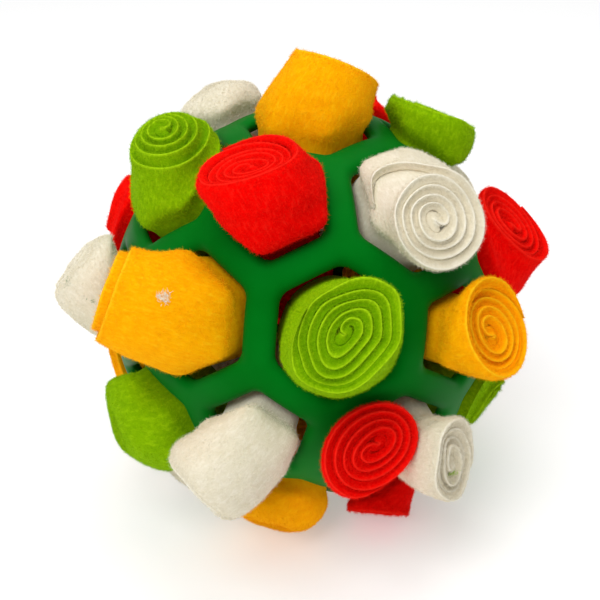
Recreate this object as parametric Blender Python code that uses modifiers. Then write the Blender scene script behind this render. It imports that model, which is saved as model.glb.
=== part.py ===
"""Snuffle puzzle ball: a moulded rubber lattice ball with rolled fleece strips pushed into its openings.

The lattice is a truncated icosahedron: twelve five-sided and twenty six-sided openings, with one
six-sided opening straight up and one straight down. Each fleece strip is wound round its own core
into a roll, squeezed where it passes through the rubber, and pulls out square to its opening.
The origin is on the ground, under the middle of the ball's outline. Metres, +Z up.
"""

import math

import bmesh
import bpy
from mathutils import Matrix, Vector
from mathutils.bvhtree import BVHTree

# Rubber ball
BALL_RADIUS = 0.060
WALL = 0.0046
HEX_RIB_INSET = 0.0048
PENT_RIB_INSET = 0.0063
RIM_FILLET = 0.0015
RIM_FILLET_STEPS = 2
LATTICE_TURN = 16.3
HEX_CORNER_share = 0.94
PENT_CORNER_share = 0.92

# Fleece strips
FLEECE = 0.0026
ROLL_PITCH = 0.0037
ROLL_CORE = 0.0020
STEPS_PER_TURN = 8
ROLL_END_RADIUS = 0.0150
ROLL_RISE = 0.0200
ROLL_DEPTH = 0.0130
INNER_END_share = 0.82
SQUEEZE_GAP = 0.0003
SEATING_RANGE = 0.0030
SEATING_STEPS = 7
SHARED_HOLE_SIDE_share = 0.51

# How the ball stands
FOOT_FLAT = 0.0005

# Colours and finish: base colour, roughness
FINISHES = {
    "rubber": ((0.003, 0.165, 0.016), 0.42),
    "lime": ((0.270, 0.520, 0.004), 0.95),
    "red": ((0.790, 0.010, 0.004), 0.95),
    "yellow": ((1.000, 0.480, 0.004), 0.95),
    "cream": ((0.830, 0.790, 0.680), 0.95),
}

# One row for each roll, from the top of the ball down:
# colour, azimuth and elevation of its opening, rise share, end radius share,
# lean east and north, tilt of the outer end east and north, turn of the winding, side in a shared opening,
# and whether it is trimmed flat on the ground. Angles are in degrees, east and north along the surface.
# A roll with no rise share reaches as far as the ground.
ROLL_shares = (
    ("yellow", -90, 90, 0.88, 0.94, 25, 2, 22, 24, 200, 0, False),
    ("red", -104, 53, 0.90, 1.02, -18, 8, -14, 29, 20, 0, False),
    ("lime", 16, 53, 0.64, 0.96, -8, -4, 12, -6, 100, 0, False),
    ("cream", 136, 53, 0.72, 0.92, 4, 2, 4, 4, 240, 0, False),
    ("cream", -44, 48, 0.90, 1.04, -28, -24, -26, -13, 150, 0, False),
    ("red", 76, 48, 0.45, 0.88, 6, 8, 6, 12, 60, 0, False),
    ("lime", -164, 48, 0.78, 0.90, 8, 34, 11, 23, 300, 0, False),
    ("lime", -81, 19, 0.88, 1.04, -3, 12, -8, 11, 250, 0, False),
    ("red", -6, 19, 0.64, 0.96, 27, 23, -12, 28, 330, 0, False),
    ("cream", 39, 19, 0.30, 0.80, 0, -6, 0, -6, 10, 0, False),
    ("yellow", 114, 19, 0.75, 0.88, 4, 0, 6, 4, 80, 0, False),
    ("red", 159, 19, 0.45, 0.84, 10, 2, 8, -4, 170, 0, False),
    ("yellow", -126, 19, 1.14, 1.00, -30, 10, -54, 11, 40, 0, False),
    ("yellow", -44, 11, 0.72, 0.92, -3, 15, 10, 20, 290, 0, False),
    ("cream", 76, 11, 0.75, 0.86, 0, 0, 4, 4, 120, 0, False),
    ("cream", -164, 11, 0.78, 0.94, -14, 20, -20, 22, 210, 0, False),
    ("lime", 16, -11, 0.30, 0.68, 0, 0, 0, 0, 30, 0, False),
    ("lime", 136, -11, 0.75, 0.86, 3, -4, 6, -4, 140, 0, False),
    ("cream", -104, -11, 1.08, 1.02, -30, -6, -40, -28, 320, 0, False),
    ("lime", -21, -19, 0.30, 0.80, -14, -6, -8, -4, 70, 0, False),
    ("yellow", 54, -19, 0.75, 0.86, 0, 3, 0, 6, 160, 0, False),
    ("red", 99, -19, 0.75, 0.88, -3, 0, -5, 4, 260, 0, False),
    ("yellow", 174, -19, 0.32, 0.80, 8, -6, 6, 4, 350, 0, False),
    ("lime", -141, -19, 0.56, 0.94, -12, -2, -4, -10, 220, 0, False),
    ("red", -66, -19, 0.80, 0.92, -14, 56, -4, 44, 130, -1, False),
    ("cream", -66, -19, 0.92, 0.76, 4, 28, 29, 28, 310, 1, False),
    ("lime", 16, -48, 0, 0.92, -6, 0, -4, 0, 180, 0, True),
    ("cream", 136, -48, 0, 0.92, 0, 0, 0, 0, 90, 0, True),
    ("yellow", -104, -48, 0, 0.84, -2, 2, -6, 0, 15, 0, True),
    ("red", 76, -53, 0, 0.80, 0, 0, 0, 0, 270, 0, True),
    ("red", -44, -53, 0.54, 0.76, -36, -8, -30, -10, 190, 0, False),
    ("cream", -164, -53, 0, 0.76, 0, 0, 0, 0, 110, 0, True),
    ("yellow", -90, -90, 0.24, 0.90, 0, 0, 0, 0, 0, 0, True),
)


def clear_scene():
    for obj in list(bpy.data.objects):
        bpy.data.objects.remove(obj, do_unlink=True)


def new_collection(name):
    collection = bpy.data.collections.new(name)
    bpy.context.scene.collection.children.link(collection)
    return collection


def material(name):
    colour, roughness = FINISHES[name]
    made = bpy.data.materials.get(name) or bpy.data.materials.new(name)
    made.use_nodes = True
    made.diffuse_color = (*colour, 1)
    shader = made.node_tree.nodes["Principled BSDF"]
    shader.inputs["Base Color"].default_value = (*colour, 1)
    shader.inputs["Roughness"].default_value = roughness
    shader.inputs["Metallic"].default_value = 0
    return made


def object_from(bm, name, collection, finish=None):
    mesh = bpy.data.meshes.new(name)
    bm.to_mesh(mesh)
    bm.free()
    mesh.shade_smooth()
    mesh.set_sharp_from_angle(angle=math.radians(40))
    obj = bpy.data.objects.new(name, mesh)
    collection.objects.link(obj)
    if finish:
        mesh.materials.append(material(finish))
    return obj


def truncated_icosahedron():
    """The closed lattice polyhedron, corners on the ball, one six-sided face straight up."""
    bm = bmesh.new()
    bmesh.ops.create_icosphere(bm, subdivisions=1, radius=BALL_RADIUS)
    top = max(bm.faces, key=lambda face: face.calc_center_median().z)
    upright = top.normal.rotation_difference(Vector((0, 0, 1))).to_matrix()
    bmesh.ops.rotate(bm, verts=bm.verts, matrix=upright)
    corner = top.verts[0].co
    turn = math.radians(LATTICE_TURN) - math.atan2(corner.y, corner.x)
    bmesh.ops.rotate(bm, verts=bm.verts, matrix=Matrix.Rotation(turn, 3, "Z"))
    third = bm.edges[:][0].calc_length() / 3
    bmesh.ops.bevel(bm, geom=bm.verts[:], offset=third, segments=1, affect="VERTICES")
    bmesh.ops.remove_doubles(bm, verts=bm.verts, dist=BALL_RADIUS * 1e-5)
    for vert in bm.verts:
        vert.co = vert.co.normalized() * BALL_RADIUS
    return bm


def openings():
    """Each opening's direction, and the radius of the widest circle that passes where its rims are closest."""
    found = []
    bm = truncated_icosahedron()
    for face in bm.faces:
        centre = face.calc_center_median()
        inset = PENT_RIB_INSET if len(face.verts) == 5 else HEX_RIB_INSET
        side_middle = (face.verts[0].co + face.verts[1].co) / 2
        spread = math.atan2((side_middle - centre).length - inset, centre.length)
        narrowest = BALL_RADIUS - WALL + RIM_FILLET
        found.append((centre.normalized(), narrowest * math.sin(spread)))
    bm.free()
    return found


def rubber_ball(collection):
    """The lattice: each face of the polyhedron is inset to a rib's half width and its middle taken out."""
    bm = truncated_icosahedron()
    bmesh.ops.bisect_edges(bm, edges=bm.edges[:], cuts=1)
    faces = bm.faces[:]
    for sides, inset, corner_share in (
        (6, HEX_RIB_INSET, HEX_CORNER_share),
        (5, PENT_RIB_INSET, PENT_CORNER_share),
    ):
        windows = [face for face in faces if len(face.verts) == 2 * sides]
        bmesh.ops.inset_individual(bm, faces=windows, thickness=inset, use_even_offset=True)
        for window in windows:
            centre = window.calc_center_median()
            reach = max((vert.co - centre).length for vert in window.verts)
            for vert in window.verts:
                if (vert.co - centre).length > reach * corner_share:
                    vert.co = centre + (vert.co - centre) * corner_share
    bmesh.ops.delete(bm, geom=faces, context="FACES_ONLY")
    for vert in bm.verts:
        vert.co = vert.co.normalized() * BALL_RADIUS
    bmesh.ops.recalc_face_normals(bm, faces=bm.faces)
    sample = bm.faces[:][0]
    if sample.normal.dot(sample.calc_center_median()) < 0:
        bmesh.ops.reverse_faces(bm, faces=bm.faces)
    ball = object_from(bm, "rubber_lattice_ball", collection, "rubber")
    shell = ball.modifiers.new("wall", "SOLIDIFY")
    shell.thickness = WALL
    shell.offset = -1
    rim = ball.modifiers.new("rounded_rims", "BEVEL")
    rim.width = RIM_FILLET
    rim.segments = RIM_FILLET_STEPS
    rim.limit_method = "ANGLE"
    rim.angle_limit = math.radians(50)
    return ball


def tangents(direction, azimuth):
    """East and north along the ball's surface."""
    east = Vector((-math.sin(math.radians(azimuth)), math.cos(math.radians(azimuth)), 0))
    north = direction.cross(east).normalized()
    return north.cross(direction).normalized(), north


def carried_axes(direction, east, north, lean_east, lean_north):
    """The surface's east, north and outward axes, carried along as the outward one leans over."""
    lean = math.radians(math.hypot(lean_east, lean_north))
    heading = math.atan2(lean_north, lean_east)
    side = east * math.cos(heading) + north * math.sin(heading)
    turned = direction * math.cos(lean) + side * math.sin(lean)
    carried = direction.rotation_difference(turned).to_matrix()
    return Matrix((carried @ east, carried @ north, turned)).transposed()


def winding(end_radius, turn):
    """Centreline of the rolled strip, from the core out, as points on the outer end's own plane."""
    outer = end_radius - FLEECE / 2
    sweep = (outer - ROLL_CORE) / ROLL_PITCH * math.tau
    steps = round(sweep / math.tau * STEPS_PER_TURN)
    points = []
    for step in range(steps + 1):
        angle = sweep * step / steps
        radius = ROLL_CORE + ROLL_PITCH * angle / math.tau
        heading = angle + math.radians(turn)
        points.append(Vector((radius * math.cos(heading), radius * math.sin(heading), 0)))
    return points


def gap_between_turns(points):
    """The least gap that the strip's own thickness leaves between one turn and the next."""
    least = ROLL_PITCH
    for index, point in enumerate(points):
        for start in range(index + STEPS_PER_TURN - 2, len(points) - 1):
            along = points[start + 1] - points[start]
            share = max(0, min(1, (point - points[start]).dot(along) / along.length_squared))
            least = min(least, (points[start] + along * share - point).length - FLEECE)
    return least


def reach_to_ground(pivot_height, axis, end_axes, points):
    """How far out along its lean a roll's end has to be for its lowest edge to go a flat's depth under the ground."""
    rim = [point * (1 + FLEECE / 2 / point.length) for point in points]
    lowest = min((end_axes @ point).z for point in rim)
    return (-FOOT_FLAT - pivot_height - lowest) / axis.z


def fleece_roll(number, row, found, ball_centre, collection):
    """A strip wound on its core, with three rings: its inner end, where it leaves the rubber, its outer end."""
    colour, azimuth, elevation, rise_share, end_share = row[:5]
    lean_east, lean_north, tilt_east, tilt_north, turn, side, _ = row[5:]
    level = math.cos(math.radians(elevation))
    wanted = Vector(
        (
            level * math.cos(math.radians(azimuth)),
            level * math.sin(math.radians(azimuth)),
            math.sin(math.radians(elevation)),
        )
    )
    direction, opening = max(found, key=lambda each: each[0].dot(wanted))
    east, north = tangents(direction, azimuth)
    axes = Matrix((east, north, direction)).transposed()
    lean_axis = carried_axes(direction, east, north, lean_east, lean_north).col[2]
    end_axes = carried_axes(direction, east, north, tilt_east, tilt_north)
    shift = opening * SHARED_HOLE_SIDE_share * abs(side)
    pivot = direction * (BALL_RADIUS - WALL / 2) + east * math.copysign(shift, side)

    end_radius = ROLL_END_RADIUS * end_share
    points = winding(end_radius, turn)
    rise = ROLL_RISE * rise_share
    if not rise:
        rise = reach_to_ground(ball_centre.location.z + pivot.z, lean_axis, end_axes, points)
    neck_radius = min(shift or opening, opening - shift) - SQUEEZE_GAP
    neck_scale = neck_radius / end_radius
    inner_scale = neck_scale * INNER_END_share

    to_local = axes.transposed()
    end_centre = to_local @ lean_axis * rise
    tilt = to_local @ end_axes
    rings = (
        (Vector((0, 0, -ROLL_DEPTH)), Matrix.Scale(inner_scale, 3), inner_scale),
        (Vector((0, 0, WALL / 2)), Matrix.Scale(neck_scale, 3), neck_scale),
        (end_centre, tilt, 1),
    )
    bm = bmesh.new()
    squeeze = bm.verts.layers.deform.new()
    columns = []
    for point in points:
        column = [bm.verts.new(shape @ point + centre) for centre, shape, _ in rings]
        for vert, (_, _, scale) in zip(column, rings):
            vert[squeeze][0] = min(scale, 1)
        columns.append(column)
    for column, following in zip(columns, columns[1:]):
        for low in range(len(rings) - 1):
            bm.faces.new((column[low], following[low], following[low + 1], column[low + 1]))
    roll = object_from(bm, f"{colour}_roll_{number:02d}", collection, colour)
    roll.vertex_groups.new(name="squeeze")
    strip = roll.modifiers.new("fleece", "SOLIDIFY")
    strip.thickness = FLEECE
    strip.offset = 0
    strip.vertex_group = "squeeze"
    strip.thickness_vertex_group = 0
    roll.parent = ball_centre
    roll.matrix_local = Matrix.Translation(pivot) @ axes.to_4x4()
    return roll, gap_between_turns(points)


def finished(obj):
    """The object with its modifiers applied, the scene brought up to date first."""
    bpy.context.view_layer.update()
    return obj.evaluated_get(bpy.context.evaluated_depsgraph_get())


def corners_of(obj):
    """The finished surface's points, in the world."""
    done = finished(obj)
    return [done.matrix_world @ vert.co for vert in done.data.vertices]


def surface_tree(obj):
    """The finished surface as a tree of faces, in the world."""
    done = finished(obj)
    faces = [tuple(face.vertices) for face in done.data.polygons]
    return BVHTree.FromPolygons(corners_of(obj), faces)


def seat(roll, beside):
    """Widens or narrows a roll where it is in the opening, until only the squeeze gap is left beside it."""
    held = [(vert, vert.co.copy()) for vert in roll.data.vertices if vert.index % 3 < 2]
    widest = max(place.xy.length for _, place in held)
    clear, touching = -SEATING_RANGE, SEATING_RANGE
    for step in range(SEATING_STEPS + 1):
        done = step == SEATING_STEPS
        wider = clear - SQUEEZE_GAP if done else (clear + touching) / 2
        for vert, place in held:
            vert.co.xy = place.xy * (1 + wider / widest)
        if any(surface_tree(roll).overlap(tree) for tree in beside):
            touching = wider
        else:
            clear = wider


def trim_on_ground(roll, slab):
    trim = roll.modifiers.new("ground_flat", "BOOLEAN")
    trim.operation = "DIFFERENCE"
    trim.object = slab


def ground_slab(collection):
    bm = bmesh.new()
    size = 4 * BALL_RADIUS
    bmesh.ops.create_cube(bm, size=size)
    slab = object_from(bm, "ground_slab", collection)
    slab.location.z = -size / 2
    slab.hide_render = True
    slab.display_type = "WIRE"
    return slab


def main():
    clear_scene()
    parts = new_collection("snuffle_puzzle_ball")
    cutters = new_collection("cutters")
    ball_centre = bpy.data.objects.new("ball_centre", None)
    parts.objects.link(ball_centre)
    lowest_rise = ROLL_RISE * ROLL_shares[-1][3]
    ball_centre.location.z = BALL_RADIUS - WALL / 2 + lowest_rise - FOOT_FLAT
    ball = rubber_ball(parts)
    ball.parent = ball_centre
    slab = ground_slab(cutters)
    found = openings()
    rubber = surface_tree(ball)
    rolls = []
    gaps = []
    for number, row in enumerate(ROLL_shares, 1):
        roll, gap = fleece_roll(number, row, found, ball_centre, parts)
        beside = [rubber]
        if row[-2] > 0:
            beside.append(surface_tree(rolls[-1]))
        seat(roll, beside)
        rolls.append(roll)
        gaps.append(gap)
        on_ground = row[-1]
        if on_ground:
            trim_on_ground(roll, slab)
    print(f"least gap between the turns of a roll: {min(gaps) * 1000:.2f} mm")
    everything = [point for obj in (ball, *rolls) for point in corners_of(obj)]
    for axis in (0, 1):
        low = min(point[axis] for point in everything)
        high = max(point[axis] for point in everything)
        ball_centre.location[axis] -= (low + high) / 2


main()
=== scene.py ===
"""Looks for the snuffle puzzle ball: the moulded rubber lattice and its rolled fleece strips, on a pale floor."""

import math
from collections import namedtuple

import bpy
import numpy as np
from mathutils import Matrix, Vector, noise


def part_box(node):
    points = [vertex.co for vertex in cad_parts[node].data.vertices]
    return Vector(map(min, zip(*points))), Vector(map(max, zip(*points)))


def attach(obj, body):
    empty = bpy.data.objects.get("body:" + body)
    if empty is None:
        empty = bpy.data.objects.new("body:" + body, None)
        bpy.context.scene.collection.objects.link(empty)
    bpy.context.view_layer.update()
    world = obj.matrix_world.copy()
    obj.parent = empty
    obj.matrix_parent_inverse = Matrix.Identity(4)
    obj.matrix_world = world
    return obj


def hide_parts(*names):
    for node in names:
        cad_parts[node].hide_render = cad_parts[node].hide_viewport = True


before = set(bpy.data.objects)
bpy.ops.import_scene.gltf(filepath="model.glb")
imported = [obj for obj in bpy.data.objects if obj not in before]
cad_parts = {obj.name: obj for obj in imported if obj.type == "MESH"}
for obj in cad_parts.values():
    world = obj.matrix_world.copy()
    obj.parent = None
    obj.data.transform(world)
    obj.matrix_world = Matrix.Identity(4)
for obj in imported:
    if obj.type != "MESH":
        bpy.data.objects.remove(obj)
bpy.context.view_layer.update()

# The rubber ball's sizes, as in the part's source
BALL_RADIUS = 0.060
WALL = 0.0046
HEX_RIB_INSET = 0.0048
PENT_RIB_INSET = 0.0063
LATTICE_TURN = 16.3
RIM_ROUNDING = 0.0015

# How the rubber is modelled: each edge's cuts, the angle in degrees at which an edge is a rim, and how it is softened
EDGE_CUTS = 3
RIM_ANGLE = 50
SOFTENING_LEVELS = 2

# The fleece strips' sizes
ROLL_END_RADIUS = 0.0150
ROLL_RISE = 0.0200
ROLL_DEPTH = 0.0165
SHARED_HOLE_SIDE = 0.0080
SHARED_HOLE_REACH = 0.0122
FLEECE = 0.0025
SQUEEZE_GAP = 0.0003
STEPS_PER_TURN = 44
STEPS_ACROSS_CORE = 24

# The six-sided openings' corners are rounder the lower this is
ROUND_CORNER_power = 9

# How much of the strip's last turn slips back, how much of it thins out, and to what share of its thickness
TAIL_TURNS = 0.4
FEATHERED_TURNS = 0.16
FEATHERED_share = 0.04

# The core's S: how many layers it takes up, how round its lobes are, and each lobe's side and first angle
CORE_LAYERS = 1.5
CORE_LOBE_share = 0.58
CORE_LOBES = ((-1, 270), (1, -180))

# The strip's pile: how much longer its streaks are than wide, its fibres, how much denser they stand along the cut
# edge, and how many turns in the next turn covers the face, so that no fibre stands there
NAP_STRETCH = 2.5
FIBRES = 17000
FIBRE_LENGTH = 0.0012
FIBRE_WIDTH = 0.00010
EDGE_FIBRES_share = 2.4
HIDDEN_AFTER_TURNS = 1.02

# Lint caught in the pile: its roll, its place in turns in from the loose end and as a share of the way out, its
# colour, how many hairs it has, how far they spread and how long they are
Lint = namedtuple("Lint", "roll turns_in out_share colour hairs spread length")
LINT = (
    Lint(13, 0.50, 0.63, "cream", 70, 0.0008, 0.0018),
    Lint(16, 0.39, 0.92, "rubber", 16, 0.0010, 0.0010),
    Lint(16, 0.41, 0.55, "rubber", 8, 0.0006, 0.0009),
    Lint(26, 3.60, 1.00, "lime", 70, 0.0007, 0.0016),
    Lint(7, 0.46, 0.32, "rubber", 22, 0.0006, 0.0010),
)
LINT_WIDTH = 0.00018
LINT_FLATNESS_share = 0.75

# The lean, in degrees, at which a roll loses its slack over the rim that it leans away from
FULL_LEAN = 22

# The camera, as seen from the ball's middle
CAMERA_ELEVATION = math.radians(28.93)
CAMERA_AWAY = Vector((0, -math.cos(CAMERA_ELEVATION), math.sin(CAMERA_ELEVATION)))
CAMERA_DISTANCE = 0.3811
CAMERA_LENS_mm = 73.7
CAMERA_SENSOR_mm = 36
CAMERA_SHIFT_share = -0.0138

# The floor, the sky, and each lamp's name, place, size and watts
FLOOR_SIZE = 8
FLOOR_GREY = 0.78
FLOOR_GLOW = 0.36
SKY_GLOW = 0.30
LAMPS = (
    ("key", (-0.35, -0.65, 0.95), 0.7, 8.5),
    ("top", (0.1, 0.2, 1.2), 1.0, 6.9),
)

# A millimetre, for the rolls' rows below
MM = 0.001

# How a roll bends over as it leaves its opening, how it fills and swells there, how its end flattens and closes in,
# and how its cut edge stands up
START_PULL_share = 1.25
END_PULL_share = 0.9
SLACK = 0.0010
SWELL_HEIGHT = 0.0035
CORNER_BULGE_share = 0.9
CORNER_LOSS_share = 0.8
ROUND_HOLE_share = 0.06
INNER_TAPER_share = 0.04
CORE_FLATTENING_share = 2.3
FLATTENING_LOST_share = 1.3
DOME_FOOT_share = 0.35
LIP = 0.0013
UNEVENNESS = 0.0009
UNEVENNESS_LENGTH = 0.016
EDGE_WANDER = 0.0006
EDGE_WANDERS_PER_TURN = 1.7
EDGE_WANDER_APART = 3.1

low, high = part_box("rubber_lattice_ball")
BALL_CENTRE = Vector(((low.x + high.x) / 2, (low.y + high.y) / 2, (low.z + high.z) / 2))

# One row for each roll. Up to the side they are as in the part's source: colour, azimuth and elevation of the
# opening, rise share, end radius share, lean east and north, tilt of the outer end east and north, side in a shared
# opening. The rest is how the strip was wound: how far it fills its opening's corners, how many millimetres it
# swells past the rim, width to length of the end's oval and the oval's turn, how many millimetres the core stands
# proud, how deep the turns lie inside the outermost one, how much the end curls in, where the strip's loose end lies
# (0 is the side away from the camera), how far that end stands off, how far it slips back as a share of the rise,
# and which way round the strip goes.
Roll = namedtuple("Roll", "colour azimuth elevation rise_share end_share lean_east lean_north tilt_east tilt_north "
                          "side fill plump oval oval_turn proud cup curl lap loose slip sense")
ROLLS = (
    Roll("yellow", -90, 90, 0.88, 0.96, 24, 2, 22, 24, 0, 1.0, 0.8, 0.92, 20, 0.5, 0.0, 0.08, 20, 0.0, 0.05, 1),
    Roll("red", -104, 53, 0.95, 1.06, -21, 13, -14, 29, 0, 1.0, 5.0, 0.86, 10, 0.0, 1.6, 0.16, 15, 0.0, 0.05, 1),
    Roll("lime", 16, 53, 0.58, 1.00, -8, 20, 13, 8, 0, 1.0, 3.8, 0.90, 40, 0.4, 0.5, 0.10, 20, 0.0, 0.05, -1),
    Roll("cream", 136, 53, 0.74, 1.00, -4, 2, 0, 4, 0, 1.0, 2.6, 0.92, 70, 0.0, 0.0, 0.90, 0, 0.0, 0.05, 1),
    Roll("cream", -44, 48, 0.92, 0.98, -28, -29, -26, -16, 0, 1.0, 1.6, 0.92, 90, 0.6, 0.0, 0.00, 150, 0.5, 0.70, 1),
    Roll("red", 76, 48, 0.45, 0.88, 6, 8, 6, 12, 0, 1.0, 2.0, 0.90, 30, 0.8, 0.0, 0.08, 200, 0.4, 0.10, -1),
    Roll("lime", -164, 48, 0.60, 0.94, 6, 34, 9, 24, 0, 1.0, 1.2, 0.90, 0, 6.0, -1.2, 0.05, 10, 0.0, 0.05, 1),
    Roll("lime", -81, 19, 0.94, 1.04, -2, 13, -8, 11, 0, 0.3, 1.8, 0.78, 48, 0.0, 0.8, 0.02, 200, 0.0, 0.00, -1),
    Roll("red", -6, 19, 0.56, 0.92, 24, 30, -12, 28, 0, 0.3, 1.0, 0.76, 80, 0.0, 1.2, 0.03, 20, 0.0, 0.05, 1),
    Roll("cream", 39, 19, 0.30, 0.80, 0, -6, 0, -6, 0, 1.0, 2.8, 0.90, 15, 0.5, 0.0, 0.08, 150, 0.3, 0.15, 1),
    Roll("yellow", 114, 19, 0.75, 0.88, 4, 0, 6, 4, 0, 1.0, 3.0, 0.88, 60, 0.8, 1.0, 0.06, 200, 0.6, 0.15, -1),
    Roll("red", 159, 19, 0.45, 0.76, 10, 2, 8, -4, 0, 1.0, 1.6, 0.90, 5, 0.6, 0.0, 0.10, 0, 0.4, 0.05, 1),
    Roll("yellow", -126, 19, 1.04, 1.00, -31, 10, -54, 11, 0, 1.0, 0.9, 0.94, 90, 0.8, -2.2, 0.04, 0, 0.0, 0.05, 1),
    Roll("yellow", -44, 11, 0.74, 0.96, 4, 15, -6, 16, 0, 0.9, 1.2, 0.84, 95, 0.0, 3.4, 0.06, 30, 0.0, 0.14, -1),
    Roll("cream", 76, 11, 0.75, 0.86, 0, 0, 4, 4, 0, 1.0, 3.0, 0.92, 45, 0.4, 0.0, 0.06, 190, 0.4, 0.20, 1),
    Roll("cream", -164, 11, 0.82, 1.16, -14, 32, -20, 32, 0, 0.9, 3.9, 0.94, 30, 0.6, 0.0, 0.55, 0, 0.0, 0.05, -1),
    Roll("lime", 16, -11, 0.30, 0.68, 0, 0, 0, 0, 0, 1.0, 2.6, 0.92, 0, 0.4, 0.0, 0.08, 160, 0.2, 0.10, 1),
    Roll("lime", 136, -11, 0.75, 0.86, 3, -4, 6, -4, 0, 1.0, 3.2, 0.88, 60, 0.8, 1.4, 0.06, 180, 0.5, 0.10, -1),
    Roll("cream", -104, -11, 1.14, 1.10, -33, -17, -40, -28, 0, 1.0, 2.4, 0.92, 60, 0.4, 0.0, 0.30, 0, 0.0, 0.05, 1),
    Roll("lime", -21, -19, 0.24, 0.70, -26, -6, -8, -4, 0, 0.5, 0.6, 0.90, 30, 0.5, 0.0, 0.14, 0, 0.0, 0.05, 1),
    Roll("yellow", 54, -19, 0.75, 0.86, 0, 3, 0, 6, 0, 1.0, 3.2, 0.86, 20, 0.6, 0.0, 0.06, 200, 0.5, 0.15, 1),
    Roll("red", 99, -19, 0.75, 0.88, -3, 0, -5, 4, 0, 1.0, 3.6, 0.90, 75, 0.0, 2.0, 0.05, 160, 0.5, 0.10, -1),
    Roll("yellow", 174, -19, 0.32, 0.80, 8, -6, 6, 4, 0, 1.0, 2.2, 0.90, 50, 0.5, 0.0, 0.12, 180, 0.3, 0.10, 1),
    Roll("lime", -141, -19, 0.76, 1.04, -20, 10, -12, 8, 0, 0.7, 1.6, 0.96, 10, 0.0, 0.0, 0.92, 0, 0.0, 0.00, -1),
    Roll("red", -66, -19, 0.82, 0.95, -14, 59, -4, 46, -1, 1.0, 2.4, 0.80, 28, 0.4, 0.0, 0.02, 0, 0.0, 0.00, 1),
    Roll("cream", -66, -19, 0.92, 0.82, 8, 28, 29, 28, 1, 1.0, 2.2, 0.80, 85, 0.0, 0.8, 0.02, 30, 0.0, 0.00, -1),
    Roll("lime", 16, -48, 0, 0.92, -6, 0, -4, 0, 0, 1.0, 2.4, 0.92, 0, 0.2, 0.0, 0.10, 180, 0.3, 0.10, 1),
    Roll("cream", 136, -48, 0, 0.92, 0, 0, 0, 0, 0, 1.0, 2.4, 0.92, 0, 0.2, 0.0, 0.10, 180, 0.3, 0.10, -1),
    Roll("yellow", -104, -48, 0, 0.98, -2, 2, -6, 0, 0, 0.4, 1.8, 0.94, 30, 0.0, 0.0, 0.92, 0, 0.0, 0.00, 1),
    Roll("red", 76, -53, 0, 0.80, 0, 0, 0, 0, 0, 1.0, 2.6, 0.92, 0, 0.2, 0.0, 0.08, 170, 0.3, 0.10, 1),
    Roll("red", -44, -53, 0.66, 0.72, -42, -12, -30, -10, 0, 0.8, 1.2, 0.90, 0, 0.4, 0.0, 0.05, 0, 0.0, 0.05, 1),
    Roll("cream", -164, -53, 0, 0.76, 0, 0, 0, 0, 0, 0.9, 2.0, 0.92, 0, 0.4, 0.0, 0.08, 0, 0.3, 0.05, -1),
    Roll("yellow", -90, -90, 0.24, 0.90, 0, 0, 0, 0, 0, 1.0, 1.6, 0.96, 0, 0, 0.0, 0.04, 90, 0.2, 0.05, 1),
)

# The cut edge of a strip, across from the face that looks outwards: place across, height as a share of the lip, and
# how strongly it is painted there: above 0 a painted highlight on the standing lip, below 0 painted shade down in a
# groove
CUT_EDGE_shares = (
    (1.00, 0.35, 0.0), (0.92, 0.85, 0.9), (0.74, 1.00, 1.0), (0.50, 0.66, 0.2), (0.10, 0.30, -0.5),
    (-0.30, 0.18, -0.7), (-0.66, 0.24, -0.6), (-0.90, 0.10, -0.8), (-1.00, -0.25, -1.0),
)
OUTER_FACE_shares = (-1, -0.6, -0.3, -0.1, 0, 0.05, 0.10, 0.15, 0.20, 0.26, 0.32, 0.39, 0.47, 0.55, 0.63, 0.71,
                     0.79, 0.86, 0.92, 0.96, 0.985)
INNER_FACE_shares = (0.97, 0.90, 0.75, 0.5, 0.2, -0.1, -1)


def deselect_all():
    for obj in bpy.context.selected_objects:
        obj.select_set(False)


def applied(obj):
    """The object with its modifiers applied, in the order they stand."""
    deselect_all()
    bpy.context.view_layer.objects.active = obj
    obj.select_set(True)
    for modifier in list(obj.modifiers):
        bpy.ops.object.modifier_apply(modifier=modifier.name)
    obj.select_set(False)
    return obj


# The lattice

def closed_lattice():
    """The ball's closed polyhedron at the origin, its corners on the ball and one six-sided face straight up."""
    deselect_all()
    bpy.ops.mesh.primitive_ico_sphere_add(subdivisions=1, radius=BALL_RADIUS)
    ball = bpy.context.object
    mesh = ball.data
    top = max(mesh.polygons, key=lambda face: face.center.z)
    upright = top.normal.rotation_difference(Vector((0, 0, 1))).to_matrix().to_4x4()
    corner = upright @ mesh.vertices[top.vertices[0]].co
    turn = math.radians(LATTICE_TURN) - math.atan2(corner.y, corner.x)
    mesh.transform(Matrix.Rotation(turn, 4, "Z") @ upright)
    edge = mesh.edges[0]
    third = (mesh.vertices[edge.vertices[0]].co - mesh.vertices[edge.vertices[1]].co).length / 3
    bpy.ops.object.mode_set(mode="EDIT")
    bpy.ops.mesh.select_all(action="SELECT")
    bpy.ops.mesh.bevel(offset=third, segments=1, affect="VERTICES")
    bpy.ops.mesh.select_all(action="SELECT")
    bpy.ops.mesh.remove_doubles(threshold=BALL_RADIUS * 1e-4)
    bpy.ops.object.mode_set(mode="OBJECT")
    return ball


def openings(ball):
    """For each opening: its outward direction, its corners' directions from the ball's middle, and its rib inset."""
    found = []
    for face in ball.data.polygons:
        corners = [ball.data.vertices[index].co.normalized() for index in face.vertices]
        inset = PENT_RIB_INSET if len(corners) == 5 else HEX_RIB_INSET
        found.append((face.center.normalized(), corners, inset))
    return found


def select_faces(mesh, wanted):
    """Selects these faces and nothing else, for the next operator in edit mode."""
    for group in (mesh.vertices, mesh.edges, mesh.polygons):
        group.foreach_set("select", np.zeros(len(group), bool))
    for face in mesh.polygons:
        if wanted(face):
            face.select = True


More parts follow.
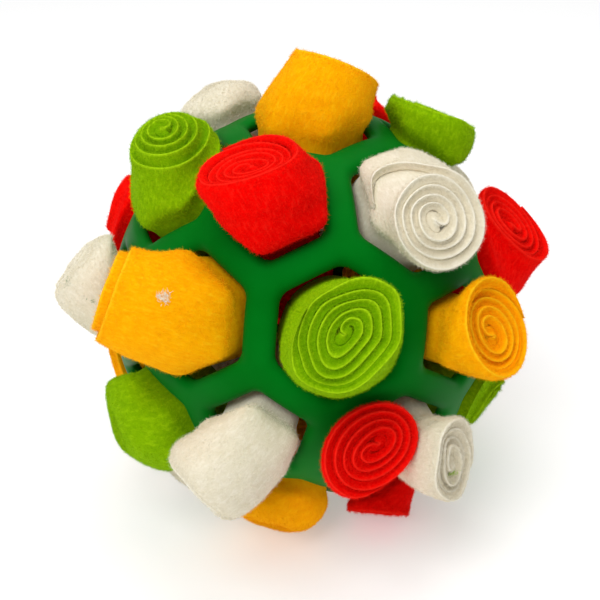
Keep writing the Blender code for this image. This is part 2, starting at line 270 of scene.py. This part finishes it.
def rubber_lattice(ball):
    """Turns the closed polyhedron into the moulded lattice: ribs, a wall and soft round rims."""
    mesh = ball.data
    for vert in mesh.vertices:
        vert.co = vert.co.normalized() * BALL_RADIUS
    bpy.context.view_layer.objects.active = ball
    ball.select_set(True)
    bpy.ops.object.mode_set(mode="EDIT")
    bpy.ops.mesh.select_all(action="SELECT")
    bpy.ops.mesh.subdivide(number_cuts=EDGE_CUTS, ngon=True, quadcorner="PATH")
    bpy.ops.object.mode_set(mode="OBJECT")
    for sides, inset in ((6, HEX_RIB_INSET), (5, PENT_RIB_INSET)):
        select_faces(mesh, lambda face, cut_sides=sides * (EDGE_CUTS + 1): len(face.vertices) == cut_sides)
        bpy.ops.object.mode_set(mode="EDIT")
        bpy.ops.mesh.select_mode(type="FACE")
        bpy.ops.mesh.inset(thickness=inset, use_individual=True, use_even_offset=True)
        bpy.ops.mesh.delete(type="FACE")
        bpy.ops.object.mode_set(mode="OBJECT")
    for vert in mesh.vertices:
        vert.co = vert.co.normalized() * BALL_RADIUS
    wall = ball.modifiers.new("wall", "SOLIDIFY")
    wall.thickness = WALL
    wall.offset = -1
    rims = ball.modifiers.new("rims", "BEVEL")
    rims.width = RIM_ROUNDING
    rims.segments = 1
    rims.limit_method = "ANGLE"
    rims.angle_limit = math.radians(RIM_ANGLE)
    soften = ball.modifiers.new("soften", "SUBSURF")
    soften.levels = soften.render_levels = SOFTENING_LEVELS
    applied(ball)
    mesh.transform(Matrix.Translation(BALL_CENTRE))
    mesh.shade_smooth()
    ball.name = mesh.name = "moulded_lattice"
    return ball


# The rolls

def tangents(direction, azimuth):
    east = Vector((-math.sin(math.radians(azimuth)), math.cos(math.radians(azimuth)), 0))
    north = direction.cross(east).normalized()
    return north.cross(direction).normalized(), north


def carried_axes(direction, east, north, lean_east, lean_north):
    """The surface's east, north and outward axes, carried along as the outward one leans over."""
    lean = math.radians(math.hypot(lean_east, lean_north))
    heading = math.atan2(lean_north, lean_east)
    side = east * math.cos(heading) + north * math.sin(heading)
    turned = direction * math.cos(lean) + side * math.sin(lean)
    carried = direction.rotation_difference(turned).to_matrix()
    return Matrix((carried @ east, carried @ north, turned)).transposed()


def smooth(low, high, value):
    share = np.clip((value - low) / (high - low), 0, 1)
    return share * share * (3 - 2 * share)


def wave_field(points, scale, seed):
    """A slow, smooth push at each point, from five crossed waves, so that neighbouring turns move together."""
    total = np.zeros_like(points)
    rng = np.random.default_rng(seed)
    for _ in range(5):
        way = rng.normal(size=3)
        way /= np.linalg.norm(way)
        push = rng.normal(size=3)
        phase = rng.uniform(0, math.tau)
        length = scale * rng.uniform(0.6, 1.6)
        total += np.sin(points @ way * math.tau / length + phase)[..., None] * push
    return total / 5


def hole_rim(direction, corners, inset, axes):
    """A function for how far the rubber's rim is from the opening's axis, at any heading round it."""
    middle = direction * BALL_RADIUS
    local = [axes.transposed() @ (corner * BALL_RADIUS - middle) for corner in corners]
    sides = []
    for first, second in zip(local, local[1:] + local[:1]):
        along = second - first
        square = Vector((along.y, -along.x)).normalized()
        reach = square.dot(first.xy)
        if reach < 0:
            square, reach = -square, -reach
        sides.append((math.atan2(square.y, square.x), reach - inset))

    def rim(heading):
        total = np.zeros_like(heading)
        for facing, reach in sides:
            total += np.clip(np.cos(heading - facing) / reach, 0, None) ** ROUND_CORNER_power
        return total ** (-1 / ROUND_CORNER_power)

    return rim


Seat = namedtuple("Seat", "axes rim pivot end_centre end_axes rise")


def seat_of(row, found):
    """Where a roll sits: its opening's axes, rim and pivot, its outer end's middle and axes, and its rise."""
    level = math.cos(math.radians(row.elevation))
    wanted = Vector((level * math.cos(math.radians(row.azimuth)), level * math.sin(math.radians(row.azimuth)),
                     math.sin(math.radians(row.elevation))))
    direction, corners, inset = max(found, key=lambda each: each[0].dot(wanted))
    east, north = tangents(direction, row.azimuth)
    axes = Matrix((east, north, direction)).transposed()
    lean_axis = carried_axes(direction, east, north, row.lean_east, row.lean_north).col[2]
    end_axes = carried_axes(direction, east, north, row.tilt_east, row.tilt_north)
    pivot = direction * (BALL_RADIUS - WALL / 2) + east * SHARED_HOLE_SIDE * row.side
    rise = ROLL_RISE * row.rise_share
    if not rise:
        edge = ROLL_END_RADIUS * row.end_share * math.sqrt(1 - end_axes.col[2].z ** 2)
        rise = (-(BALL_CENTRE.z + pivot.z) + edge) / lean_axis.z
    to_local = axes.transposed()
    rim = hole_rim(direction, corners, inset, axes)
    return Seat(axes, rim, pivot, np.array(to_local @ lean_axis * rise), np.array(to_local @ end_axes), rise)


def strip_section():
    """The strip's cross-section, out along its outer face, over the cut edge and back along its inner face.

    For each point of it: the share of the way out, the place across, the height, and its pile value: above 0 a
    painted highlight on the lip, below 0 painted shade in a groove."""
    section = [(out, 1.0, 0.0, 0.0) for out in OUTER_FACE_shares]
    section += [(1.0, across, height, pile) for across, height, pile in CUT_EDGE_shares]
    section += [(out, -1.0, 0.0, 0.0) for out in INNER_FACE_shares]
    return (np.array(column) for column in zip(*section))


def held_by_rubber(points, seat):
    """Moves what would lie in the rubber out onto the ball, or in through the opening, whichever is nearer."""
    pivot_local = np.array(seat.axes.transposed() @ seat.pivot)
    from_centre = points + pivot_local
    beside = np.hypot(from_centre[..., 0], from_centre[..., 1])
    heading = np.arctan2(from_centre[..., 1], from_centre[..., 0])
    depth = BALL_RADIUS + SQUEEZE_GAP - np.linalg.norm(from_centre, axis=-1)
    flare = RIM_ROUNDING - np.sqrt(RIM_ROUNDING**2 - np.clip(RIM_ROUNDING - depth, 0, RIM_ROUNDING) ** 2)
    room = seat.rim(heading) - SQUEEZE_GAP + flare
    over = (beside > room) & (depth > 0) & (depth < WALL + 2 * SQUEEZE_GAP)
    outwards = over & (depth < beside - room)
    inwards = over & ~outwards
    grow = np.where(outwards, (BALL_RADIUS + SQUEEZE_GAP) / (BALL_RADIUS + SQUEEZE_GAP - depth), 1)
    draw_in = np.where(inwards, room / np.maximum(beside, room), 1)
    from_centre = from_centre * grow[..., None]
    from_centre[..., :2] *= draw_in[..., None]
    return from_centre - pivot_local


def winding(end_radius, lap, sense):
    """The strip's middle line seen end on, in a circle of radius one: an S through the core, then a spiral out.

    Returns its points, the direction square to it at each, and how many turns are left to its loose end."""
    layer = FLEECE / end_radius
    turns = 1 / layer - CORE_LAYERS
    start = lap - sense * turns * math.tau
    outwards = np.array((math.cos(start), math.sin(start)))
    onwards = sense * np.array((-math.sin(start), math.cos(start)))
    lobe = []
    for side, first_angle in CORE_LOBES:
        bend = np.radians(np.linspace(first_angle, 0, STEPS_ACROSS_CORE // 2, endpoint=False))[:, None]
        across = side / 2 + np.cos(bend) / 2
        lobe.append(layer * (across * outwards + CORE_LOBE_share * np.sin(bend) * onwards))
    along = np.linspace(0, 1, round(turns * STEPS_PER_TURN) + 1)
    turned = along * turns * math.tau
    # the first turn lies on the lobes' outline, and each turn out less so
    beside_lobes = 0.125 + 0.125 * np.cos(2 * turned) + 0.25 * (np.sin(turned) - np.cos(turned))
    reach = layer * (1 + turns * along + beside_lobes * (1 - along))
    heading = start + sense * turned
    spiral = np.stack([np.cos(heading), np.sin(heading)], 1) * reach[:, None]
    line = np.concatenate([*lobe, spiral])
    forward = np.gradient(line, axis=0)
    forward /= np.linalg.norm(forward, axis=1)[:, None]
    square = sense * np.stack([forward[:, 1], -forward[:, 0]], 1)
    left = np.concatenate([np.full(len(line) - len(spiral), turns), turns * (1 - along)])
    return line, square, left


def thinned(line, square, left, end_radius):
    """The strip's middle line, laid down where its loose end thins out, and half its thickness along it."""
    half = FLEECE / 2 / end_radius
    feathered = FEATHERED_share + (1 - FEATHERED_share) * smooth(0, FEATHERED_TURNS, left)
    begun = 1 - (1 - np.clip(np.arange(len(line)) / 3, 0, 1)) ** 2
    thick = half * feathered * np.sqrt(np.clip(begun, 0.02, 1))
    return line - square * (half * (1 - feathered))[:, None], thick


def middle_line(seat, outside, height):
    """The roll's middle, straight through the wall and then leaning over to the outer end."""
    reach = np.linalg.norm(seat.end_centre)
    start_pull = np.array((0, 0, reach * START_PULL_share))
    end_pull = seat.end_axes[:, 2] * reach * END_PULL_share
    by_start = outside**3 - 2 * outside**2 + outside
    by_centre = -2 * outside**3 + 3 * outside**2
    by_end = outside**3 - outside**2
    middle = (by_start[..., None] * start_pull + by_centre[..., None] * seat.end_centre
              + by_end[..., None] * end_pull)
    middle[..., 2] += np.minimum(height, 0)
    return middle


def body_reach(row, seat, heading, outside, height):
    """How far out the roll's body goes: the opening's own outline in the wall, swelling over its rim."""
    if row.side:
        hole = 1 / np.hypot(np.cos(heading) / SHARED_HOLE_SIDE, np.sin(heading) / SHARED_HOLE_REACH)
        round_hole = hole
    else:
        hole = seat.rim(heading)
        round_hole = seat.rim(np.linspace(0, math.tau, 61)).min() * (1 + ROUND_HOLE_share * row.fill)
    above_rim = height - (np.sqrt(BALL_RADIUS**2 - hole**2) - BALL_RADIUS + WALL / 2)
    swelling = smooth(-RIM_ROUNDING, SWELL_HEIGHT, above_rim)

    lean = math.hypot(row.lean_east, row.lean_north)
    leaned_on = 0.5 + 0.5 * np.cos(heading - math.atan2(row.lean_north, row.lean_east))
    taut = SLACK * min(1, lean / FULL_LEAN) * (1 - leaned_on)
    swell = np.maximum(row.plump * MM - taut, -RIM_ROUNDING)

    over_corners = CORNER_BULGE_share * swelling * (1 - smooth(0.1, 0.5, outside))
    cornered = 1 - CORNER_LOSS_share * smooth(0.05, 0.6, outside) + over_corners
    filled = round_hole + (hole - round_hole) * row.fill * cornered
    body = filled - SQUEEZE_GAP + (RIM_ROUNDING + swell) * row.fill * swelling
    return body * (1 - INNER_TAPER_share * smooth(WALL, ROLL_DEPTH, -height))


def oval_end(row, end_radius, reach, heading):
    """Where each point lies across the outer end: in an oval, flattest at the core."""
    turn = math.radians(row.oval_turn)
    flattened = CORE_FLATTENING_share - FLATTENING_LOST_share * smooth(0.1, 0.8, reach)
    wide = end_radius * reach * (1 + (1 / math.sqrt(row.oval) - 1) * flattened)
    narrow = end_radius * reach * (1 + (math.sqrt(row.oval) - 1) * flattened)
    long_side, short_side = wide * np.cos(heading - turn), narrow * np.sin(heading - turn)
    return (long_side * math.cos(turn) - short_side * math.sin(turn),
            long_side * math.sin(turn) + short_side * math.cos(turn))


def edge_height(number, row, core_share, left, outside, lift):
    """How far the cut edge stands out: the core proud or the inner turns sunk, and never quite level."""
    wander = np.array([noise.noise(Vector((each * EDGE_WANDERS_PER_TURN, number * EDGE_WANDER_APART, 0)))
                       for each in left[:, 0]])[:, None]
    proud = (row.proud * MM * (1 - core_share**2) - row.cup * MM * smooth(0.5, 1.4, left)
             + EDGE_WANDER * wander)
    return proud * smooth(0.3, 1.0, outside) + LIP * (1 - row.curl) * lift[None, :]


def strip_points(number, row, seat):
    """The strip's rings of points along its winding, and how many turns are left to its loose end at each."""
    end_radius = ROLL_END_RADIUS * row.end_share
    out_share, across, lift, _ = strip_section()
    to_camera = seat.axes.transposed() @ (CAMERA_AWAY * CAMERA_DISTANCE - seat.pivot)
    lap = math.atan2(-to_camera.y, -to_camera.x) + math.radians(row.lap)
    line, square, left = winding(end_radius, lap, row.sense)
    line, thick = thinned(line, square, left, end_radius)
    wound = line[:, None] + (across[None, :] * thick[:, None])[..., None] * square[:, None]
    reach = np.hypot(wound[..., 0], wound[..., 1])
    heading = np.arctan2(wound[..., 1], wound[..., 0])
    core_share = np.hypot(line[:, 0], line[:, 1])[:, None]
    left = left[:, None]

    # how far out each station is, the loose end of the strip slipping back into the opening
    tail = smooth(TAIL_TURNS, 0, left)
    outside = np.clip(out_share, 0, 1)[None, :] * (1 - row.slip * tail)
    height = np.where(out_share[None, :] < 0, out_share[None, :] * ROLL_DEPTH, outside * seat.rise)

    # from the body in the opening to the oval end, closing in where the end is domed
    body = body_reach(row, seat, heading, outside, height) * reach
    body_x, body_y = body * np.cos(heading), body * np.sin(heading)
    end_x, end_y = oval_end(row, end_radius, reach, heading)
    to_end = smooth(WALL / 3, seat.rise, height)
    closing = np.clip((outside - DOME_FOOT_share) / (1 - DOME_FOOT_share), 0, 1)
    curl = 1 - row.curl * (1 - np.sqrt(1 - closing**2))
    loose = tail * smooth(0, 0.2, outside) * (1 - outside**3) * row.loose * MM
    flat = np.stack([(body_x + (end_x - body_x) * to_end) * curl + np.cos(heading) * loose,
                     (body_y + (end_y - body_y) * to_end) * curl + np.sin(heading) * loose,
                     np.zeros_like(heading)], -1)

    bend = smooth(0.1, 1, outside)[..., None]
    placed = middle_line(seat, outside, height) + flat * (1 - bend) + (flat @ seat.end_axes.T) * bend
    placed += edge_height(number, row, core_share, left, outside, lift)[..., None] * seat.end_axes[:, 2]
    placed += (wave_field(placed, UNEVENNESS_LENGTH, number) * UNEVENNESS
               * smooth(0.15, 0.5, outside)[..., None])
    placed = held_by_rubber(placed, seat)
    world = placed @ np.array(seat.axes).T + np.array(seat.pivot + BALL_CENTRE)
    world[..., 2] = np.maximum(world[..., 2], 0)
    return world, left


def fleece_roll(number, row, found):
    """One strip of fleece, wound up, and what stands on it: its pile and any lint, each with its colour."""
    points, left = strip_points(number, row, seat_of(row, found))
    _, across, _, pile = strip_section()
    # The last turn has no turn outside it, so the outer side of its cut edge gets no painted groove shade
    pile = np.where((across > 0) & (left < 1), np.maximum(pile, 0), pile)
    name = f"{row.colour}_fleece_{number:02d}"
    roll = strip_object(name, points, pile, row.sense)
    hairy = [(pile_object(name.replace("fleece", "pile"), points, left, row.sense, number), row.colour)]
    for count, lint in enumerate(LINT):
        if lint.roll == number:
            wisp = lint_object(f"lint_{number:02d}_{count}", points, left[:, 0], row.sense, lint, count)
            hairy.append((wisp, lint.colour))
    return roll, hairy


def strip_object(name, points, pile, sense):
    """The strip's mesh from its rows of points, closed at both ends, as an object, with its nap stored and, in pile,
    its painted lip highlight and groove shade.
    """
    count, ring = points.shape[:2]
    index = np.arange(count * ring).reshape(count, ring)
    here, after = index[:-1], index[1:]
    faces = np.stack([here, after, np.roll(after, -1, 1), np.roll(here, -1, 1)], -1).reshape(-1, 4)
    caps = [index[0].tolist(), index[-1][::-1].tolist()]
    if sense < 0:
        faces = faces[:, ::-1]
        caps = [cap[::-1] for cap in caps]
    mesh = bpy.data.meshes.new(name)
    mesh.from_pydata(points.reshape(-1, 3).tolist(), [], faces.tolist() + caps)
    # pile holds painted light: above 0 a painted highlight on the cut edge's lip, below 0 painted shade in its
    # grooves
    stands = mesh.attributes.new("pile", "FLOAT", "POINT")
    stands.data.foreach_set("value", pile.ravel().astype(np.float32))
    nap = mesh.attributes.new("nap", "FLOAT_VECTOR", "POINT")
    nap.data.foreach_set("vector", brushed_way(points).ravel().astype(np.float32))
    mesh.shade_smooth()
    roll = bpy.data.objects.new(name, mesh)
    bpy.context.scene.collection.objects.link(roll)
    return roll


def brushed_way(points):
    """Where each point lies on the flat strip, its length drawn up so that the nap runs across its width."""
    along = np.linalg.norm(np.diff(points, axis=0, prepend=points[:1]), axis=2).mean(axis=1).cumsum()
    across = np.linalg.norm(np.diff(points, axis=1, prepend=points[:, :1]), axis=2).mean(axis=0).cumsum()
    place = np.zeros_like(points)
    place[..., 0] = along[:, None] * NAP_STRETCH
    place[..., 1] = across[None, :]
    return place


def flat_size(roll):
    """The width and length that the strip was cut to, from its mesh."""
    ring = len(OUTER_FACE_shares) + len(CUT_EDGE_shares) + len(INNER_FACE_shares)
    points = np.empty(len(roll.data.vertices) * 3)
    roll.data.vertices.foreach_get("co", points)
    points = points.reshape(-1, ring, 3)[:, : len(OUTER_FACE_shares)]
    width = np.linalg.norm(np.diff(points, axis=1), axis=2).sum(axis=1).mean()
    length = np.linalg.norm(np.diff(points, axis=0), axis=2).sum(axis=0).mean()
    return round(width, 3), round(length, 3)


def pile_object(name, points, left, sense, seed):
    """Single fibres that stand up from the strip's outer face and along its cut edges, each one thin triangle."""
    rng = np.random.default_rng(seed)
    first_out = OUTER_FACE_shares.index(0)
    last_face, last_cut = len(OUTER_FACE_shares), len(OUTER_FACE_shares) + len(CUT_EDGE_shares)
    across = points[:-1, 1:] - points[:-1, :-1]
    along = points[1:, :-1] - points[:-1, :-1]
    normal = np.cross(along, across) * sense
    area = np.linalg.norm(normal, axis=-1)
    weight = np.zeros_like(area)
    weight[:, first_out:last_face] = np.where(left[:-1] < HIDDEN_AFTER_TURNS, 1.0, 0.0)
    weight[:, last_face - 3:last_cut] = EDGE_FIBRES_share
    weight *= area
    chosen = rng.choice(weight.size, FIBRES, p=(weight / weight.sum()).ravel())
    row, column = np.unravel_index(chosen, weight.shape)
    u, v = rng.random((2, FIBRES, 1))
    root = points[row, column] + along[row, column] * u + across[row, column] * v
    up = normal[row, column] / area[row, column][:, None]
    lean = rng.normal(size=(FIBRES, 3))
    lean -= (lean * up).sum(1)[:, None] * up
    way = up * rng.uniform(0.35, 1.0, (FIBRES, 1)) + lean / np.linalg.norm(lean, axis=1)[:, None]
    way /= np.linalg.norm(way, axis=1)[:, None]
    side = np.cross(way, rng.normal(size=(FIBRES, 3)))
    side *= FIBRE_WIDTH / 2 / np.linalg.norm(side, axis=1)[:, None]
    root -= up * FIBRE_WIDTH
    return hairs(name, root, root + way * FIBRE_LENGTH * rng.uniform(0.5, 1.3, (FIBRES, 1)), side)


def lint_object(name, points, left, sense, lint, seed):
    """A wisp of loose hairs lying on the strip."""
    rng = np.random.default_rng(seed)
    row = min(np.abs(left - lint.turns_in).argmin(), len(points) - 2)
    column = np.abs(np.array(OUTER_FACE_shares) - lint.out_share).argmin()
    column += len(CUT_EDGE_shares) // 2 * (lint.out_share == 1)
    spot = points[row, column]
    along, across = points[row + 1, column] - spot, points[row, column + 1] - spot
    up = np.cross(along, across) * sense
    up /= np.linalg.norm(up)
    root = spot + rng.normal(size=(lint.hairs, 3)) * lint.spread
    root -= ((root - spot) @ up)[:, None] * up - up * LINT_WIDTH * rng.uniform(1, 4, (lint.hairs, 1))
    way = rng.normal(size=(lint.hairs, 3))
    way -= LINT_FLATNESS_share * (way @ up)[:, None] * up
    way /= np.linalg.norm(way, axis=1)[:, None]
    side = np.cross(way, up)
    side *= LINT_WIDTH / 2 / np.linalg.norm(side, axis=1)[:, None]
    return hairs(name, root, root + way * lint.length * rng.uniform(0.4, 1, (lint.hairs, 1)), side)


def hairs(name, root, tip, side):
    """Hairs as an object, each one a thin triangle from its root to its tip."""
    corners = np.stack([root - side, root + side, tip], 1)
    corners[..., 2] = np.maximum(corners[..., 2], 0)
    mesh = bpy.data.meshes.new(name)
    mesh.from_pydata(corners.reshape(-1, 3).tolist(), [], np.arange(corners.size // 3).reshape(-1, 3).tolist())
    # Each hair carries 0.4 at its root and 1 at its tip, so it is painted lighter towards its tip: a painted
    # highlight on the hair tips
    stands = mesh.attributes.new("pile", "FLOAT", "POINT")
    stands.data.foreach_set("value", np.tile((0.4, 0.4, 1.0), len(root)).astype(np.float32))
    made = bpy.data.objects.new(name, mesh)
    bpy.context.scene.collection.objects.link(made)
    return made


# Finishes: the patterns' sizes as features to a metre, the bumps' depths in metres, and the colours

CLUMPS_PER_M = 300
NAP_PER_M = 480
FIBRES_PER_M = 2600
CLOUDS_PER_M = 42
GRAIN_PER_M = 2400
FLEECE_BUMP = 0.0006
FLEECE_BUMP_share = 0.5
GRAIN_BUMP = 0.00005
GRAIN_BUMP_share = 0.25
RUBBER_GREENS = {"Dark": (0.0004, 0.128, 0.006), "Light": (0.0007, 0.162, 0.010)}
RUBBER_SHINE_share = 0.12
RUBBER_SHINE_TINT = (0.005, 0.6, 0.08, 1)
FLEECE_SHINE_share = 0.1
FLEECE_SHEEN_share = 0.15
FLEECE_SHEEN_SPREAD = 0.45
# Each fleece's groove colour is painted shade for the grooves of a cut edge; its tips' colour is partly paler fibre
# tips at random and partly a painted highlight on the lips and hair tips
FLEECES = {
    "lime": {"Groove_painted_shade": (0.11, 0.29, 0.0003), "Deep": (0.17, 0.36, 0.0005), "Colour": (0.225, 0.44, 0.001),
             "Tips_and_painted_highlight": (0.44, 0.70, 0.010)},
    "red": {"Groove_painted_shade": (0.55, 0.0003, 0.0002), "Deep": (0.76, 0.0005, 0.0003), "Colour": (0.91, 0.001, 0.0005),
            "Tips_and_painted_highlight": (1.0, 0.030, 0.016)},
    "yellow": {"Groove_painted_shade": (0.92, 0.25, 0.0002), "Deep": (0.93, 0.37, 0.0005), "Colour": (0.99, 0.445, 0.001),
               "Tips_and_painted_highlight": (1.0, 0.62, 0.015)},
    "cream": {"Groove_painted_shade": (0.76, 0.68, 0.50), "Deep": (0.71, 0.65, 0.49), "Colour": (0.76, 0.70, 0.55),
              "Tips_and_painted_highlight": (0.95, 0.91, 0.79)},
}


def new_material(name):
    made = bpy.data.materials.new(name)
    made.use_nodes = True
    return made, made.node_tree, made.node_tree.nodes["Principled BSDF"]


def effect(name, inputs, outputs):
    """An empty node group with these sockets, and its input and output nodes."""
    group = bpy.data.node_groups.new(name, "ShaderNodeTree")
    for label, kind in inputs:
        group.interface.new_socket(label, in_out="INPUT", socket_type=kind)
    for label, kind in outputs:
        group.interface.new_socket(label, in_out="OUTPUT", socket_type=kind)
    return group, group.nodes.new("NodeGroupInput"), group.nodes.new("NodeGroupOutput")


def noise_in(group, coordinates, scale, detail, roughness):
    made = group.nodes.new("ShaderNodeTexNoise")
    made.inputs["Scale"].default_value = scale
    made.inputs["Detail"].default_value = detail
    made.inputs["Roughness"].default_value = roughness
    group.links.new(coordinates, made.inputs["Vector"])
    return made.outputs["Fac"]


def stretched(group, value, low, high, to_low=0.0, to_high=1.0):
    made = group.nodes.new("ShaderNodeMapRange")
    for label, number in (("From Min", low), ("From Max", high), ("To Min", to_low), ("To Max", to_high)):
        made.inputs[label].default_value = number
    group.links.new(value, made.inputs["Value"])
    return made.outputs["Result"]


def sum_of(group, parts):
    """A weighted sum of values."""
    total = None
    for value, weight in parts:
        made = group.nodes.new("ShaderNodeMath")
        made.operation = "MULTIPLY_ADD"
        made.inputs[1].default_value = weight
        group.links.new(value, made.inputs[0])
        if total is None:
            made.inputs[2].default_value = 0
        else:
            group.links.new(total, made.inputs[2])
        total = made.outputs["Value"]
    return total


def blend(group, factor, first, second):
    made = group.nodes.new("ShaderNodeMix")
    made.data_type = "RGBA"
    group.links.new(factor, made.inputs["Factor"])
    group.links.new(first, made.inputs["A"])
    group.links.new(second, made.inputs["B"])
    return made.outputs["Result"]


def brushed_fleece():
    """Mottled pile: clumps of nap and single fibres, with a painted highlight along the lips of a cut edge and
    painted shade down in its grooves.
    """
    group, given, made = effect(
        "brushed_fleece",
        tuple((label, "NodeSocketColor") for label in ("Groove_painted_shade", "Deep", "Colour", "Tips_and_painted_highlight")),
        (("Colour", "NodeSocketColor"), ("Height", "NodeSocketFloat")),
    )
    place = group.nodes.new("ShaderNodeTexCoord").outputs["Object"]
    stands, brushed = (group.nodes.new("ShaderNodeAttribute") for _ in range(2))
    stands.attribute_name = "pile"
    brushed.attribute_name = "nap"
    clumps = noise_in(group, place, CLUMPS_PER_M, 3, 0.6)
    nap = noise_in(group, brushed.outputs["Vector"], NAP_PER_M, 2, 0.6)
    fibres = noise_in(group, place, FIBRES_PER_M, 1, 0.5)
    # The pile values above 0 give the painted highlight along a cut edge's lips, those below 0 the painted shade down
    # in its grooves
    painted_lip_highlight = stretched(group, stands.outputs["Fac"], 0, 1)
    painted_groove_shade = stretched(group, stands.outputs["Fac"], -0.1, -1)
    body = blend(group, stretched(group, sum_of(group, ((clumps, 0.5), (nap, 0.5))), 0.34, 0.58),
                 given.outputs["Deep"], given.outputs["Colour"])
    # The tips' colour comes partly from the nap and single fibres at random and partly as a painted highlight on the
    # lips; the grooves' colour is then laid over as painted shade
    pale_tips_and_painted_highlight = sum_of(group, ((stretched(group, nap, 0.52, 0.75), 0.35), (stretched(group, fibres, 0.5, 0.75), 0.2),
                          (painted_lip_highlight, 0.6)))
    colour = blend(group, painted_groove_shade, blend(group, pale_tips_and_painted_highlight, body, given.outputs["Tips_and_painted_highlight"]), given.outputs["Groove_painted_shade"])
    height = sum_of(group, ((clumps, 0.6), (nap, 0.6), (fibres, 0.25)))
    group.links.new(colour, made.inputs["Colour"])
    group.links.new(height, made.inputs["Height"])
    return group


def moulded_rubber():
    """Smooth satin rubber: a faint cloudiness in its shade and sheen, and the fine grain of its mould."""
    group, given, made = effect(
        "moulded_rubber",
        (("Dark", "NodeSocketColor"), ("Light", "NodeSocketColor")),
        (("Colour", "NodeSocketColor"), ("Roughness", "NodeSocketFloat"), ("Height", "NodeSocketFloat")),
    )
    place = group.nodes.new("ShaderNodeTexCoord").outputs["Object"]
    clouds = noise_in(group, place, CLOUDS_PER_M, 3, 0.5)
    grain = noise_in(group, place, GRAIN_PER_M, 2, 0.5)
    colour = blend(group, stretched(group, clouds, 0.35, 0.65), given.outputs["Dark"], given.outputs["Light"])
    group.links.new(colour, made.inputs["Colour"])
    group.links.new(stretched(group, clouds, 0.3, 0.7, 0.40, 0.52), made.inputs["Roughness"])
    group.links.new(grain, made.inputs["Height"])
    return group


def with_effect(name, group, colours, depth, strength):
    """A Principled material whose colour, bump and, where it has one, roughness come from an effect."""
    made, tree, shader = new_material(name)
    node = tree.nodes.new("ShaderNodeGroup")
    node.node_tree = group
    for label, colour in colours.items():
        node.inputs[label].default_value = (*colour, 1)
    tree.links.new(node.outputs["Colour"], shader.inputs["Base Color"])
    if "Roughness" in node.outputs:
        tree.links.new(node.outputs["Roughness"], shader.inputs["Roughness"])
    bump = tree.nodes.new("ShaderNodeBump")
    bump.inputs["Distance"].default_value = depth
    bump.inputs["Strength"].default_value = strength
    tree.links.new(node.outputs["Height"], bump.inputs["Height"])
    tree.links.new(bump.outputs["Normal"], shader.inputs["Normal"])
    return made, shader


def rubber_material():
    made, shader = with_effect("green_rubber", moulded_rubber(), RUBBER_GREENS, GRAIN_BUMP, GRAIN_BUMP_share)
    shader.inputs["Specular IOR Level"].default_value = RUBBER_SHINE_share
    shader.inputs["Specular Tint"].default_value = RUBBER_SHINE_TINT
    return made


def fleece_material(name, group, colours):
    made, shader = with_effect(name, group, colours, FLEECE_BUMP, FLEECE_BUMP_share)
    shader.inputs["Roughness"].default_value = 1.0
    shader.inputs["Specular IOR Level"].default_value = FLEECE_SHINE_share
    shader.inputs["Sheen Weight"].default_value = FLEECE_SHEEN_share
    shader.inputs["Sheen Roughness"].default_value = FLEECE_SHEEN_SPREAD
    shader.inputs["Specular Tint"].default_value = (*colours["Tips_and_painted_highlight"], 1)
    shader.inputs["Sheen Tint"].default_value = (*colours["Tips_and_painted_highlight"], 1)
    return made


def studio():
    """A wide pale floor and soft light from above and in front."""
    deselect_all()
    bpy.ops.mesh.primitive_plane_add(size=FLOOR_SIZE)
    floor = bpy.context.object
    floor.name = "floor"
    made, tree, shader = new_material("pale_floor")
    shader.inputs["Base Color"].default_value = (FLOOR_GREY, FLOOR_GREY, FLOOR_GREY, 1)
    shader.inputs["Roughness"].default_value = 0.9
    shader.inputs["Emission Color"].default_value = (1, 1, 1, 1)
    shader.inputs["Emission Strength"].default_value = FLOOR_GLOW
    floor.data.materials.append(made)

    world = bpy.data.worlds.new("studio")
    bpy.context.scene.world = world
    world.use_nodes = True
    sky = world.node_tree.nodes["Background"]
    sky.inputs["Color"].default_value = (1, 1, 1, 1)
    sky.inputs["Strength"].default_value = SKY_GLOW

    for name, place, size, watts in LAMPS:
        data = bpy.data.lights.new(name, "AREA")
        data.size = size
        data.energy = watts
        lamp = bpy.data.objects.new(name, data)
        bpy.context.scene.collection.objects.link(lamp)
        lamp.location = place
        lamp.rotation_euler = (BALL_CENTRE - Vector(place)).to_track_quat("-Z", "Y").to_euler()


def camera():
    data = bpy.data.cameras.new("camera")
    data.lens = CAMERA_LENS_mm
    data.sensor_width = CAMERA_SENSOR_mm
    data.shift_x = CAMERA_SHIFT_share
    obj = bpy.data.objects.new("camera", data)
    bpy.context.scene.collection.objects.link(obj)
    obj.location = BALL_CENTRE + CAMERA_AWAY * CAMERA_DISTANCE
    obj.rotation_euler = (-CAMERA_AWAY).to_track_quat("-Z", "Y").to_euler()
    bpy.context.scene.camera = obj


camera()
studio()
bpy.context.scene.view_settings.view_transform = "Standard"

polyhedron = closed_lattice()
found = openings(polyhedron)
lattice = rubber_lattice(polyhedron)
lattice.data.materials.append(rubber_material())
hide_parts("rubber_lattice_ball")
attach(lattice, "ball")
fleece = brushed_fleece()
finishes = {name: fleece_material(f"{name}_fleece", fleece, colours) for name, colours in FLEECES.items()}
finishes["rubber"] = lattice.data.materials[0]
for number, row in enumerate(ROLLS, 1):
    roll, hairy = fleece_roll(number, row, found)
    for piece, colour in [(roll, row.colour), *hairy]:
        piece.data.materials.append(finishes[colour])
        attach(piece, f"{row.colour}_strip_{number:02d}")
    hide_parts(f"{row.colour}_roll_{number:02d}")
    flat_size(roll)
